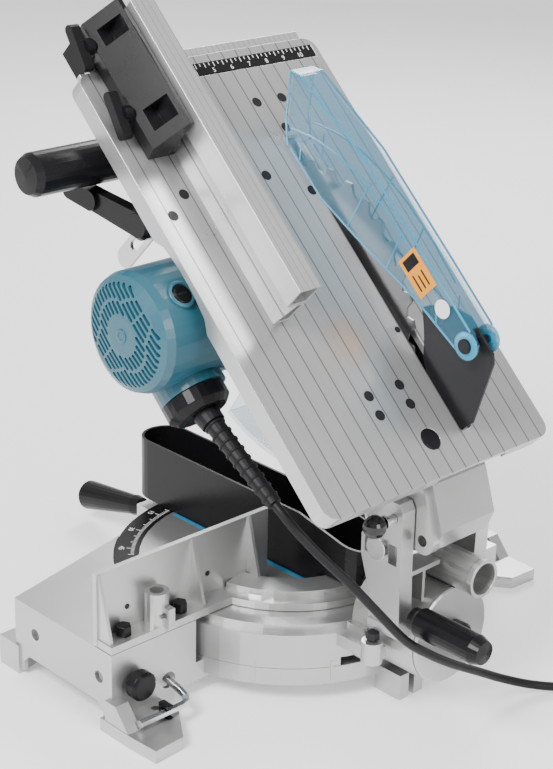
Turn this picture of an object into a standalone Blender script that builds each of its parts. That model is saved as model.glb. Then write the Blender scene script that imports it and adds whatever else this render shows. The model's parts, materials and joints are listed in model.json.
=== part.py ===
"""Combination mitre saw: a bench-top mitre saw that carries a small saw table on its head.

Frame: X to the operator's right, +Y to the back, Z up, floor at z = 0, turntable centre at
x = y = 0. At rest the saw is set square, the head is raised and the table is at its lowest.
Shapes of the head and its table are given in the head's own frame, whose origin is on the
chop hinge and whose table is level: there -Y runs to the front and Z is square to the table.
"""

from math import cos, pi, radians, sin

import bmesh
import bpy
from mathutils import Matrix, Vector

for old in list(bpy.data.objects):
    bpy.data.objects.remove(old, do_unlink=True)

# Driving dimensions, in metres and degrees.
GAP = 0.0003
SEGMENTS = 28

HEAD_TILT = 43.7
HINGE_Y = 0.166
HINGE_Z = 0.161

BASE_HALF = 0.238
WING_TOP = 0.0726
WING_BACK = 0.040
WING_FRONT = -0.094
BASE_RING_R = 0.143
FRONT_R = 0.159
BASE_FLOOR_TOP = 0.034

TURN_R = 0.143
TURN_TOP = 0.0724
DISC_R = 0.1356
RIM_TOP = 0.0663

FENCE_Y = 0.0165
FENCE_T = 0.005
FENCE_TOP = 0.140
FENCE_GAP = 0.046
FLANGE_TOP = 0.080

BEVEL_Z = 0.0726
DRUM_R = 0.045
DRUM_BACK = 0.200
CHEEK_BACK = 0.190

BLADE_R = 0.130
BLADE_Y = -0.218
BLADE_Z = 0.0065
BLADE_T = 0.0022
GUARD_R = 0.148
GUARD_FROM = -80.0
GUARD_TO = -16.0

TABLE_TOP = 0.098
TABLE_T = 0.006
SKIRT_BOTTOM = 0.082
TABLE_BACK = -0.0141
TABLE_LENGTH = 0.410
TABLE_LEFT = -0.084
TABLE_RIGHT = 0.1765

MOTOR_Y = -0.2276
MOTOR_Z = 0.031
MOTOR_R = 0.050
MOTOR_END = 0.210
STUD_Y = -0.302
STUD_Z = 0.061

CORD_R = 0.0039
COIL_AT = (-0.150, 0.318)
COIL_R = 0.042


# Collections and frames.
def collection(name, hidden):
    made = bpy.data.collections.new(name)
    bpy.context.scene.collection.children.link(made)
    made.hide_render = hidden
    return made


PARTS = collection("mitre_saw_on_stand", False)
CUTTERS = collection("cutters", True)


def frame(name, parent=None, at=(0, 0, 0), turn=0.0):
    empty = bpy.data.objects.new(name, None)
    PARTS.objects.link(empty)
    empty.parent = parent
    empty.location = at
    empty.rotation_euler = (turn, 0, 0)
    return empty


# Shapes. Each is a closed bmesh. A point (u, v) lies across the axis and t runs along it.
def spot(axis, u, v, t):
    return {"X": (t, u, v), "Y": (u, t, v), "Z": (u, v, t)}[axis]


def box(x0, x1, y0, y1, z0, z1):
    shape = bmesh.new()
    bmesh.ops.create_cube(shape, size=1)
    bmesh.ops.scale(shape, vec=(x1 - x0, y1 - y0, z1 - z0), verts=shape.verts)
    middle = ((x0 + x1) / 2, (y0 + y1) / 2, (z0 + z1) / 2)
    bmesh.ops.translate(shape, vec=middle, verts=shape.verts)
    return shape


def prism(axis, outline, a, b):
    shape = bmesh.new()
    face = shape.faces.new([shape.verts.new(spot(axis, u, v, a)) for u, v in outline])
    made = bmesh.ops.extrude_face_region(shape, geom=[face])
    far = [e for e in made["geom"] if isinstance(e, bmesh.types.BMVert)]
    bmesh.ops.translate(shape, vec=spot(axis, 0, 0, b - a), verts=far)
    bmesh.ops.recalc_face_normals(shape, faces=shape.faces)
    return shape


def circle(centre, radius, count=SEGMENTS, start=0.0):
    turns = [start + 2 * pi * i / count for i in range(count)]
    return [(centre[0] + radius * cos(a), centre[1] + radius * sin(a)) for a in turns]


def rod(axis, centre, radius, a, b, count=SEGMENTS):
    return prism(axis, circle(centre, radius, count), a, b)


def arc(centre, radius, start, end, count):
    steps = [radians(start + (end - start) * i / count) for i in range(count + 1)]
    return [(centre[0] + radius * cos(a), centre[1] + radius * sin(a)) for a in steps]


def sector(centre, inner, outer, start, end, count=12):
    return arc(centre, outer, start, end, count) + arc(centre, inner, end, start, count)


def turned(axis, centre, profile, count=SEGMENTS):
    """A solid of revolution. The profile is a closed loop of (radius, t)."""
    shape = bmesh.new()
    verts = [shape.verts.new(spot(axis, centre[0] + r, centre[1], t)) for r, t in profile]
    edges = [shape.edges.new((verts[i - 1], verts[i])) for i in range(len(verts))]
    bmesh.ops.spin(
        shape, geom=verts + edges, cent=spot(axis, centre[0], centre[1], 0),
        axis=spot(axis, 0, 0, 1), angle=2 * pi, steps=count, use_merge=True,
    )
    bmesh.ops.remove_doubles(shape, verts=shape.verts, dist=1e-6)
    bmesh.ops.dissolve_degenerate(shape, dist=1e-7, edges=shape.edges)
    loose = [e for e in shape.edges if not e.link_faces]
    bmesh.ops.delete(shape, geom=loose, context="EDGES")
    bmesh.ops.recalc_face_normals(shape, faces=shape.faces)
    return shape


def tapered(start, end, r0, r1, count=SEGMENTS):
    start, end = Vector(start), Vector(end)
    shape = bmesh.new()
    bmesh.ops.create_cone(
        shape, cap_ends=True, segments=count, radius1=r0, radius2=r1,
        depth=(end - start).length,
    )
    turn = Vector((0, 0, 1)).rotation_difference(end - start).to_matrix()
    bmesh.ops.rotate(shape, cent=(0, 0, 0), matrix=turn, verts=shape.verts)
    bmesh.ops.translate(shape, vec=(start + end) / 2, verts=shape.verts)
    return shape


def ball(centre, radius, count=20):
    shape = bmesh.new()
    bmesh.ops.create_uvsphere(shape, u_segments=count, v_segments=count // 2, radius=radius)
    bmesh.ops.translate(shape, vec=centre, verts=shape.verts)
    return shape


def rounded(x0, x1, y0, y1, radius, count=5):
    r = radius
    return (
        arc((x1 - r, y1 - r), r, 0, 90, count) + arc((x0 + r, y1 - r), r, 90, 180, count)
        + arc((x0 + r, y0 + r), r, 180, 270, count) + arc((x1 - r, y0 + r), r, 270, 360, count)
    )


def hull(*circles, count=24):
    """The outline that wraps circles given as (u, v, radius)."""
    points = sorted({(round(p, 7), round(q, 7)) for u, v, r in circles
                     for p, q in circle((u, v), r, count)})

    def chain(run):
        kept = []
        for p in run:
            while len(kept) > 1 and cross(kept[-2], kept[-1], p) <= 1e-12:
                kept.pop()
            kept.append(p)
        return kept[:-1]

    def cross(a, b, c):
        return (b[0] - a[0]) * (c[1] - a[1]) - (b[1] - a[1]) * (c[0] - a[0])

    return chain(points) + chain(points[::-1])


def mirrored(shape):
    other = shape.copy()
    bmesh.ops.scale(other, vec=(-1, 1, 1), verts=other.verts)
    bmesh.ops.reverse_faces(other, faces=other.faces)
    return other


def pair(shape):
    return [shape, mirrored(shape)]


# Objects and materials.
COLOURS = {
    "cast_silver": ((0.62, 0.63, 0.64), 0.9, 0.35),
    "table_silver": ((0.72, 0.73, 0.74), 0.9, 0.3),
    "steel": ((0.55, 0.56, 0.58), 1.0, 0.3),
    "dark_steel": ((0.12, 0.12, 0.13), 1.0, 0.4),
    "blade_grey": ((0.20, 0.20, 0.21), 1.0, 0.35),
    "black_plastic": ((0.02, 0.02, 0.022), 0.0, 0.4),
    "black_gloss": ((0.01, 0.01, 0.011), 0.0, 0.15),
    "teal_plastic": ((0.03, 0.16, 0.20), 0.0, 0.4),
    "blue_board": ((0.05, 0.20, 0.34), 0.0, 0.45),
    "clear_blue": ((0.25, 0.50, 0.75), 0.0, 0.15),
    "copper": ((0.60, 0.28, 0.14), 1.0, 0.4),
    "rubber_black": ((0.015, 0.015, 0.016), 0.0, 0.6),
}


def material(name, key):
    colour, metallic, roughness = COLOURS[key]
    made = bpy.data.materials.new(name)
    made.use_nodes = True
    made.diffuse_color = (*colour, 1)
    principled = made.node_tree.nodes["Principled BSDF"]
    principled.inputs["Base Color"].default_value = (*colour, 1)
    principled.inputs["Metallic"].default_value = metallic
    principled.inputs["Roughness"].default_value = roughness
    return made


def linked(name, shape, home, group, pivot):
    mesh = bpy.data.meshes.new(name)
    bmesh.ops.translate(shape, vec=[-c for c in pivot], verts=shape.verts)
    shape.to_mesh(mesh)
    shape.free()
    obj = bpy.data.objects.new(name, mesh)
    group.objects.link(obj)
    obj.parent = home
    obj.location = pivot
    return obj


def solid(name, home, key, shape, add=(), cut=(), pivot=(0, 0, 0)):
    """One named part: a shape, with others joined to it and then others cut from it."""
    obj = linked(name, shape, home, PARTS, pivot)
    obj.data.materials.append(material(name, key))
    for operation, shapes in (("UNION", add), ("DIFFERENCE", cut)):
        for number, other in enumerate(shapes, 1):
            label = f"{name}_{operation.lower()}_{number}"
            helper = linked(label, other, home, CUTTERS, pivot)
            helper.hide_render = True
            helper.display_type = "WIRE"
            step = obj.modifiers.new(label, "BOOLEAN")
            step.operation = operation
            step.solver = "EXACT"
            step.object = helper
    return obj


def tube(name, home, key, points, radius, resolution=2):
    line = bpy.data.curves.new(name, "CURVE")
    line.dimensions = "3D"
    line.bevel_depth = radius
    line.bevel_resolution = resolution
    line.use_fill_caps = True
    line.render_resolution_u = 0
    path = line.splines.new("POLY")
    path.points.add(len(points) - 1)
    for point, place in zip(path.points, points):
        point.co = (*place, 1)
    obj = bpy.data.objects.new(name, line)
    PARTS.objects.link(obj)
    obj.parent = home
    line.materials.append(material(name, key))
    return obj


def smooth(points, count):
    """Evenly spaced points along a smooth curve through the given ones."""
    ends = [[2 * a - b for a, b in zip(points[0], points[1])]]
    ends += points + [[2 * a - b for a, b in zip(points[-1], points[-2])]]
    fine = []
    for p, q, r, s in zip(ends, ends[1:], ends[2:], ends[3:]):
        for step in range(20):
            t = step / 20
            fine.append([
                0.5 * (2 * b + (c - a) * t + (2 * a - 5 * b + 4 * c - d) * t * t
                       + (3 * b - a - 3 * c + d) * t ** 3)
                for a, b, c, d in zip(p, q, r, s)
            ])
    fine.append(list(points[-1]))
    along = [0.0]
    for a, b in zip(fine, fine[1:]):
        along.append(along[-1] + (Vector(b) - Vector(a)).length)
    even = []
    place = 0
    for step in range(count + 1):
        wanted = along[-1] * step / count
        while place < len(along) - 2 and along[place + 1] < wanted:
            place += 1
        share = (wanted - along[place]) / (along[place + 1] - along[place])
        even.append([a + (b - a) * share for a, b in zip(fine[place], fine[place + 1])])
    return even


# Frames of the moving groups.
TURN = frame("turn_frame")
TILT = frame("tilt_frame", TURN)
HEAD = frame("head_frame", TILT, (0, HINGE_Y, HINGE_Z), -radians(HEAD_TILT))
TABLE = frame("table_frame", HEAD)


def wing_outline(back_x):
    front = arc((0, 0), FRONT_R, -53.7, -126.3, 10)
    right = [(BASE_HALF, WING_FRONT), (BASE_HALF, WING_BACK), (back_x, WING_BACK), (back_x, 0)]
    left = [(-u, v) for u, v in right[::-1]]
    return right + left + front[::-1]


def base_casting():
    upper = prism("Z", wing_outline(0.146), 0.0305, WING_TOP)
    lower = prism("Z", wing_outline(0.120), 0.005, 0.031)
    ring = rod("Z", (0, 0), BASE_RING_R, 0.018, 0.0416, 48)
    front_foot = box(0.205, 0.240, -0.116, -0.088, 0, 0.028)
    back_foot = prism("Z", [(0.186, 0.030), (0.243, 0.030), (0.243, 0.068), (0.241, 0.100),
                            (0.210, 0.098), (0.186, 0.064)], 0, 0.012)
    post = prism("X", [(0.036, 0.005), (0.072, 0.005), (0.050, 0.031), (0.036, 0.031)],
                 0.229, 0.2425)
    centre_foot = box(-0.007, 0.022, 0.126, 0.165, 0, 0.024)
    hollow = prism("Z", [(0.234, -0.0895), (0.234, 0.036), (0.150, 0.036), (0.150, -0.107)],
                   -0.01, 0.0686)
    well = rod("Z", (0, 0), 0.1445, BASE_FLOOR_TOP, 0.09, 48)
    boss = rod("Z", (0, 0), 0.020, 0, 0.030, 24)
    under = turned("Z", (0, 0), [(0.0135, -0.01), (0.137, -0.01), (0.137, 0.028), (0.0135, 0.028)],
                   40)
    slot = prism("Z", sector((0, 0), 0.130, 0.162, -156, -24, 16), 0.0420, 0.0640)
    wide_slot = prism("Z", sector((0, 0), 0.1605, 0.275, -150, -30, 12), 0.0260, 0.0640)
    scale_seat = prism("Z", sector((0, 0), 0.130, 0.1592, -148.5, -31.5, 24), 0.0667, 0.09)
    end_arch = prism("X", [(-0.083, -0.01), (-0.083, 0.014), (-0.075, 0.022), (0.020, 0.022),
                           (0.028, 0.014), (0.028, -0.01)], 0.225, 0.25)
    holes = [rod("X", at, 0.0055, 0.225, 0.25, 16) for at in ((-0.065, 0.048), (0.023, 0.046))]
    front_arch = box(-0.10, 0.10, -0.17, -0.10, -0.01, 0.014)
    back_arch = box(0.126, 0.170, 0.030, 0.05, -0.01, 0.013)
    bench = rod("Z", (0.199, 0.049), 0.0035, -0.01, 0.02, 14)
    slot_foot = box(-0.0035, 0.0035, 0.146, 0.17, -0.01, 0.03)
    bmesh.ops.translate(slot_foot, vec=(0.0075, 0, 0), verts=slot_foot.verts)
    knob_hole = rod("Y", (0.215, 0.041), 0.0045, 0.03, 0.05, 14)
    wrench_hole = rod("Y", (0.177, 0.0262), 0.0078, 0.03, 0.05, 16)
    solid(
        "base_casting", None, "cast_silver", upper,
        add=[lower, ring, *pair(front_foot), *pair(back_foot), *pair(post), centre_foot, boss],
        cut=[*pair(hollow), well, under, slot, wide_slot, scale_seat, *pair(end_arch), *pair(holes[0]),
             *pair(holes[1]), front_arch, *pair(back_arch), *pair(bench), slot_foot, knob_hole,
             wrench_hole],
    )


def mitre_scale():
    band = prism("Z", sector((0, 0), 0.1365, 0.1588, -147, -33, 24), 0.0670, 0.0718)
    solid("mitre_scale", None, "black_plastic", band)


def fence_shape():
    y0, y1 = FENCE_Y, FENCE_Y + FENCE_T
    plate = prism("Y", [(FENCE_GAP, 0.0734), (BASE_HALF, 0.0734), (BASE_HALF, FENCE_TOP),
                        (FENCE_GAP, FENCE_TOP)], y0, y1)
    flange = box(0.066, BASE_HALF - 0.0004, y0 + 0.0005, WING_BACK, 0.0732, FLANGE_TOP)
    ribs = []
    for x in (0.235, 0.134, 0.0690):
        side = [(y1 - 0.001, FENCE_TOP - 0.0004), (y1 + 0.0005, FENCE_TOP - 0.0004), (0.037, 0.082),
                (0.037, 0.074), (y1 - 0.001, 0.074)]
        ribs += pair(prism("X", side, x - 0.0015, x + 0.0015))
    half = sector((0, 0), 0.075, 0.112, 12, 168, 24)
    arch = prism("Z", half, 0.0730, 0.0797)
    rim = prism("Z", sector((0, 0), 0.0755, 0.1, 14, 166, 24), 0.079, 0.0855)
    boss = rod("Z", (0.181, 0.030), 0.0105, 0.074, 0.110, 20)
    lug = box(0.1745, 0.1815, 0.036, 0.046, 0.0785, 0.097)
    bore = rod("Z", (0.181, 0.030), 0.0062, 0.076, 0.12, 16)
    lug_hole = rod("X", (0.0415, 0.090), 0.0028, 0.17, 0.186, 12)
    relief = prism("Y", [(-0.03, 0.15), (-0.03, 0.104), (-0.088, 0.104), (-0.128, 0.141),
                         (-0.128, 0.15)], 0.01, 0.05)
    bolt_holes = [rod("Z", (side * x, 0.029), 0.0036, 0.07, 0.085, 12)
                  for side in (1, -1) for x in (0.216, 0.155)]
    solid(
        "fence", None, "cast_silver", plate,
        add=[arch, rim, flange, mirrored(flange), mirrored(plate), *ribs, boss, lug],
        cut=[bore, lug_hole, relief, *bolt_holes],
    )


def fence_bolts():
    for number, (side, x) in enumerate([(1, 0.216), (1, 0.155), (-1, 0.216), (-1, 0.155)], 1):
        head = prism("Z", circle((side * x, 0.029), 0.0068, 6), FLANGE_TOP + GAP, 0.0895)
        shank = rod("Z", (side * x, 0.029), 0.0032, 0.0732, FLANGE_TOP + 0.001, 10)
        solid(f"fence_bolt_{number}", None, "black_plastic", head, add=[shank])


def base_fittings():
    knob = turned("Y", (0.215, 0.041), [(0, 0.0410), (0.0075, 0.0410), (0.0075, 0.0445),
                                        (0.0130, 0.0455), (0.0130, 0.0540), (0.0105, 0.0565),
                                        (0, 0.0565)], 20)
    stem = rod("Y", (0.215, 0.041), 0.0040, 0.032, 0.042, 14)
    solid("thumb_knob", None, "black_plastic", knob, add=[stem], pivot=(0.215, 0.05, 0.041))
    path = [(0.178, 0.022, 0.0275), (0.177, 0.038, 0.0262), (0.176, 0.052, 0.0228),
            (0.1755, 0.0605, 0.0192), (0.1785, 0.0655, 0.0177), (0.186, 0.0672, 0.0175),
            (0.231, 0.0672, 0.0175)]
    tube("hex_wrench", None, "steel", path, 0.0038, 1)
    clip = box(0.198, 0.204, 0.0590, 0.0715, 0.0123, 0.0250)
    mouth = box(0.19, 0.21, 0.0630, 0.08, 0.0134, 0.0216)
    solid("wrench_clip", None, "black_plastic", clip, cut=[mouth])


def blade_box():
    side = [(-0.195, 0.0731), (0.060, 0.0731), (0.066, 0.0865), (0.108, 0.0865), (0.114, 0.118),
            (0.037, 0.134), (-0.195, 0.134)]
    block = prism("X", side, -0.024, 0.024)
    plan = prism("Z", rounded(-0.024, 0.024, -0.195, 0.114, 0.0238, 7), 0.06, 0.14)
    inner_side = [(-0.1925, 0.0756), (0.0585, 0.0756), (0.0645, 0.0890), (0.1055, 0.0890),
                  (0.1115, 0.15), (-0.1925, 0.15)]
    inner = prism("X", inner_side, -0.0215, 0.0215)
    inner_plan = prism("Z", rounded(-0.0215, 0.0215, -0.1925, 0.1115, 0.0213, 7), 0.06, 0.15)
    body = solid("blade_box", None, "black_plastic", block)
    keep = linked("blade_box_plan", plan, None, CUTTERS, (0, 0, 0))
    hollow = linked("blade_box_hollow", inner, None, CUTTERS, (0, 0, 0))
    hollow_plan = linked("blade_box_hollow_plan", inner_plan, None, CUTTERS, (0, 0, 0))
    slot = linked("blade_box_slot", box(-0.006, 0.006, -0.155, 0.052, 0.06, 0.08), None,
                  CUTTERS, (0, 0, 0))
    for helper in (keep, hollow, hollow_plan, slot):
        helper.hide_render = True
        helper.display_type = "WIRE"
    narrow = hollow.modifiers.new("plan", "BOOLEAN")
    narrow.operation = "INTERSECT"
    narrow.solver = "EXACT"
    narrow.object = hollow_plan
    for operation, helper in (("INTERSECT", keep), ("DIFFERENCE", hollow), ("DIFFERENCE", slot)):
        step = body.modifiers.new(helper.name, "BOOLEAN")
        step.operation = operation
        step.solver = "EXACT"
        step.object = helper


def turn_base():
    disc = turned("Z", (0, 0), [(0, BASE_FLOOR_TOP + 0.0004), (TURN_R, BASE_FLOOR_TOP + 0.0004),
                                (TURN_R, RIM_TOP), (DISC_R, RIM_TOP), (DISC_R, TURN_TOP),
                                (0, TURN_TOP)], 48)
    arm = box(-0.022, 0.022, -0.190, -0.136, 0.0432, 0.0600)
    housing = box(-0.050, 0.050, 0.110, 0.1455, 0.0430, 0.0720)
    drum = rod("Y", (0, BEVEL_Z), 0.044, 0.126, 0.1455, 32)
    boss_arm = box(0.048, 0.064, 0.120, 0.170, 0.0550, 0.0662)
    boss = rod("Z", (0.061, 0.166), 0.0093, 0.0550, 0.0750, 20)
    under = turned("Z", (0, 0), [(0.030, 0.02), (0.134, 0.02), (0.134, 0.0610), (0.030, 0.0610)],
                   40)
    recess = box(-0.0283, 0.0283, -0.1303, 0.0553, 0.0667, 0.09)
    kerf = box(-0.010, 0.010, -0.128, 0.050, 0.02, 0.07)
    kerf_end = box(-0.0035, 0.0035, -0.1395, -0.120, 0.05, 0.09)
    bolt_hole = rod("Z", (0.061, 0.166), 0.0036, 0.068, 0.08, 12)
    pivot_hole = rod("Y", (0, BEVEL_Z), 0.0075, 0.10, 0.15, 16)
    shaft_hole = tapered((0, -0.2000, 0.0456), (0, -0.1720, 0.0514), 0.0044, 0.0044, 14)
    trim = box(-0.06, 0.06, 0.12, 0.1465, 0.02, 0.0424)
    solid("turn_base", TURN, "cast_silver", disc, add=[arm, housing, drum, boss_arm, boss],
          cut=[under, recess, kerf, kerf_end, bolt_hole, pivot_hole, shaft_hole, trim])


def turn_fittings():
    for name, side in (("kerf_board_right", 1), ("kerf_board_left", -1)):
        board = box(*sorted((side * 0.0045, side * 0.0280)), -0.130, 0.055, 0.0670, TURN_TOP)
        solid(name, TURN, "blue_board", board)
    start, near, far = (0, -0.1775, 0.0503), (0, -0.2165, 0.0422), (0, -0.2930, 0.0264)
    grip = tapered(near, far, 0.0095, 0.0150, 24)
    shaft = tapered(start, (0, -0.2200, 0.0415), 0.0040, 0.0040, 14)
    cap = tapered((0, -0.2925, 0.0265), (0, -0.2985, 0.0253), 0.0150, 0.0110, 24)
    collar = tapered((0, -0.2080, 0.0440), (0, -0.2175, 0.0420), 0.0085, 0.0105, 20)
    solid("mitre_grip", TURN, "black_plastic", grip, add=[shaft, cap, collar], pivot=near)
    lever = prism("X", [(-0.1640, 0.0415), (-0.1640, 0.0340), (-0.1960, 0.0290),
                        (-0.2030, 0.0300), (-0.2030, 0.0320), (-0.1760, 0.0415)], -0.008, 0.008)
    solid("detent_lever", TURN, "black_plastic", lever, pivot=(0, -0.168, 0.0375))
    bolt = rod("Z", (0.061, 0.166), 0.0033, 0.0690, 0.0800, 12)
    head = prism("Z", circle((0.061, 0.166), 0.0062, 6), 0.0765, 0.0832)
    solid("bevel_stop_bolt", TURN, "dark_steel", bolt, add=[head])


def tilt_bracket():
    near = prism("X", [(0.192, 0.084), (CHEEK_BACK, 0.150), (CHEEK_BACK, 0.199),
                       (0.186, 0.206), (0.175, 0.206), (0.168, 0.197), (0.146, 0.167),
                       (0.146, 0.149), (0.160, 0.106), (0.164, 0.084)], 0.043, 0.058)
    far_side = [(0.190, 0.084), (0.192, 0.161)] + arc((HINGE_Y, HINGE_Z), 0.026, 10, 170, 12)
    far = prism("X", far_side + [(0.140, 0.161), (0.150, 0.120), (0.158, 0.084)],
                -0.050, -0.034)
    web = box(-0.049, 0.057, 0.156, 0.163, 0.090, 0.128)
    shelf = box(0.0085, 0.044, 0.158, 0.190, 0.138, 0.142)
    shelf_wall = box(0.0085, 0.044, 0.156, 0.162, 0.10, 0.142)
    rib = box(0.024, 0.027, 0.160, 0.188, 0.105, 0.139)
    floor = box(-0.049, 0.057, 0.156, 0.188, 0.090, 0.100)
    drum = rod("Y", (0, BEVEL_Z), DRUM_R, 0.1463, 0.1965, 36)
    ring = rod("Y", (-0.0085, 0.131), 0.0195, 0.156, 0.172, 24)
    ring_top = box(-0.040, 0.0085, 0.150, 0.180, 0.1450, 0.160)
    bar = box(0.034, 0.0595, 0.158, 0.186, 0.0868, 0.0935)
    side_box = box(-0.070, -0.048, 0.160, 0.186, 0.100, 0.128)
    pockets = []
    for outline in ([(0.150, 0.152), (0.158, 0.152), (0.158, 0.166), (0.150, 0.166)],
                    [(0.1765, 0.150), (0.186, 0.150), (0.186, 0.168), (0.1765, 0.168)],
                    [(0.158, 0.177), (0.169, 0.177), (0.169, 0.190)]):
        pockets.append(prism("X", outline, 0.050, 0.065))
    nozzle_hole = rod("Y", (-0.0085, 0.131), 0.0171, 0.1655, 0.21, 24)
    air_hole = rod("Y", (-0.0085, 0.131), 0.0125, 0.15, 0.17, 20)
    pin_hole = rod("X", (HINGE_Y, HINGE_Z), 0.0083, -0.06, 0.07, 20)
    lock_hole = rod("X", (0.181, 0.192), 0.0043, 0.04, 0.07, 14)
    pivot_hole = rod("Y", (0, BEVEL_Z), 0.0075, 0.14, 0.21, 16)
    core = turned("Y", (0, BEVEL_Z), [(0.014, 0.152), (0.040, 0.152), (0.040, 0.21),
                                      (0.014, 0.21)], 28)
    slot = prism("X", rounded(0.176, 0.184, 0.156, 0.160, 0.0019, 3), -0.06, -0.04)
    solid("tilt_bracket", TILT, "cast_silver", near,
          add=[floor, web, far, shelf_wall, shelf, rib, drum, ring, bar, side_box],
          cut=[*pockets, ring_top, nozzle_hole, air_hole, pin_hole, lock_hole, pivot_hole, core, slot],
          pivot=(0, 0.17, BEVEL_Z))


def tilt_fittings():
    cover = turned("Y", (0, BEVEL_Z), [(0.0082, 0.1968), (0.0445, 0.1968), (0.0445, 0.1985),
                                       (0.0430, DRUM_BACK), (0.0082, DRUM_BACK)], 36)
    nozzle_room = rod("Y", (-0.0085, 0.131), 0.0171, 0.19, 0.21, 24)
    solid("drum_cover", TILT, "cast_silver", cover, cut=[nozzle_room],
          pivot=(0, 0.2, BEVEL_Z))
    nozzle = turned("Y", (-0.0085, 0.131), [(0.0135, 0.1660), (0.0163, 0.1660), (0.0163, 0.2180),
                                           (0.0168, 0.2185), (0.0168, 0.2245),
                                           (0.0140, 0.2245), (0.0135, 0.2200)], 28)
    solid("dust_nozzle", TILT, "cast_silver", nozzle)
    pin = rod("X", (HINGE_Y, HINGE_Z), 0.0080, -0.0520, 0.0600, 20)
    head = rod("X", (HINGE_Y, HINGE_Z), 0.0105, 0.0583, 0.0625, 20)
    nut = rod("X", (HINGE_Y, HINGE_Z), 0.0105, -0.0550, -0.0503, 20)
    solid("hinge_pin", TILT, "steel", pin, add=[head, nut], pivot=(0, HINGE_Y, HINGE_Z))
    lock_pin = rod("X", (0.181, 0.192), 0.0040, 0.0440, 0.0690, 16)
    collar = rod("X", (0.181, 0.192), 0.0060, 0.0700 - 0.002, 0.0705, 16)
    solid("lock_pin", TILT, "steel", lock_pin, add=[collar], pivot=(0.06, 0.181, 0.192))
    solid("lock_pin_knob", TILT, "black_gloss", ball((0.0808, 0.181, 0.192), 0.0100),
          pivot=(0.0808, 0.181, 0.192))
    bolt = rod("Y", (0, BEVEL_Z), 0.0070, 0.1120, 0.2130, 16)
    solid("bevel_bolt", TILT, "steel", bolt, pivot=(0, 0.2, BEVEL_Z))
    hub = turned("Y", (0, BEVEL_Z), [(0.0074, 0.2006), (0.0140, 0.2006), (0.0140, 0.2105),
                                     (0.0125, 0.2120), (0.0074, 0.2120)], 20)
    arm = prism("Y", hull((0, BEVEL_Z, 0.0115), (0.050, 0.106, 0.0100), count=16),
                0.2010, 0.2100)
    clear = rod("Y", (0, BEVEL_Z), 0.0074, 0.19, 0.23, 16)
    grip = turned("Y", (0.050, 0.106), [(0, 0.2060), (0.0105, 0.2060), (0.0128, 0.2100),
                                        (0.0128, 0.2680), (0.0100, 0.2765), (0, 0.2780)], 24)
    solid("bevel_lever", TILT, "black_plastic", hub, add=[arm, grip], cut=[clear],
          pivot=(0, 0.2, BEVEL_Z))


def head_casting():
    block_side = [(-0.062, -0.004), (-0.030, -0.0125), (0.008, -0.0125), (0.0135, 0.004),
                  (0.026, 0.030), (0.019, 0.048), (-0.017, 0.067), (-0.062, 0.070)]
    block = prism("X", block_side, -0.030, 0.035)
    lug = prism("X", hull((0.015, 0.031, 0.012), (-0.0106, 0.0328, 0.014), (-0.018, 0.050, 0.012)),
                0.034, 0.042)
    arm = prism("X", [(-0.045, -0.010), (-0.045, 0.069), (-0.100, 0.066), (-0.190, 0.060),
                      (-0.250, 0.060), (-0.250, 0.0), (-0.218, -0.0170), (-0.190, -0.0130)],
                0.0175, 0.0400)
    case = rod("X", (BLADE_Y, BLADE_Z), 0.0235, 0.0080, 0.0620, 28)
    flange = rod("X", (MOTOR_Y, MOTOR_Z), 0.0490, 0.0390, 0.0745, 32)
    stud_arm = prism("X", hull((MOTOR_Y, 0.052, 0.018), (STUD_Y, STUD_Z, 0.012), count=20),
                     0.0455, 0.0740)
    handle_arm = prism("X", hull((-0.262, 0.040, 0.018), (-0.371, 0.050, 0.015), count=20),
                       0.0500, 0.0720)
    boss = rod("X", (STUD_Y, STUD_Z), 0.0110, 0.0730, 0.1430, 20)
    barrel = rod("X", (0, 0), 0.0083, -0.04, 0.05, 20)
    locks = [rod("X", at, 0.0050, 0.03, 0.05, 14) for at in ((0.015, 0.031), (-0.0106, 0.0328))]
    spring_room = rod("X", (0, 0), 0.0165, -0.0200, 0.0080, 20)
    window = box(-0.0200, 0.0080, -0.008, 0.008, -0.030, 0.0)
    gear_room = rod("X", (BLADE_Y, BLADE_Z), 0.0195, 0.0450, 0.0590, 24)
    pinion_room = rod("X", (MOTOR_Y, MOTOR_Z), 0.0110, 0.0450, 0.0800, 20)
    spindle_hole = rod("X", (BLADE_Y, BLADE_Z), 0.0064, 0.0, 0.0605, 16)
    fan_room = rod("X", (MOTOR_Y, MOTOR_Z), 0.0455, 0.0640, 0.0800, 28)
    stud_hole = rod("X", (STUD_Y, STUD_Z), 0.0043, 0.100, 0.150, 14)
    guide_1 = rod("Z", (0.0285, -0.075), 0.0054, 0.020, 0.080, 16)
    guide_2 = rod("Z", (0.0600, -0.287), 0.0054, 0.030, 0.090, 16)
    solid("head_casting", HEAD, "cast_silver", block,
          add=[arm, lug, flange, case, stud_arm, handle_arm, boss],
          cut=[barrel, *locks, spring_room, window, fan_room, gear_room, pinion_room,
               spindle_hole, stud_hole, guide_1, guide_2])


def return_spring():
    turns, per_turn = 4, 12
    points = []
    for i in range(turns * per_turn + 1):
        a = 2 * pi * i / per_turn
        x = -0.0170 + 0.0220 * i / (turns * per_turn)
        points.append((x, 0.0118 * cos(a), 0.0118 * sin(a)))
    tube("return_spring", HEAD, "steel", points, 0.0012, 1)


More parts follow.
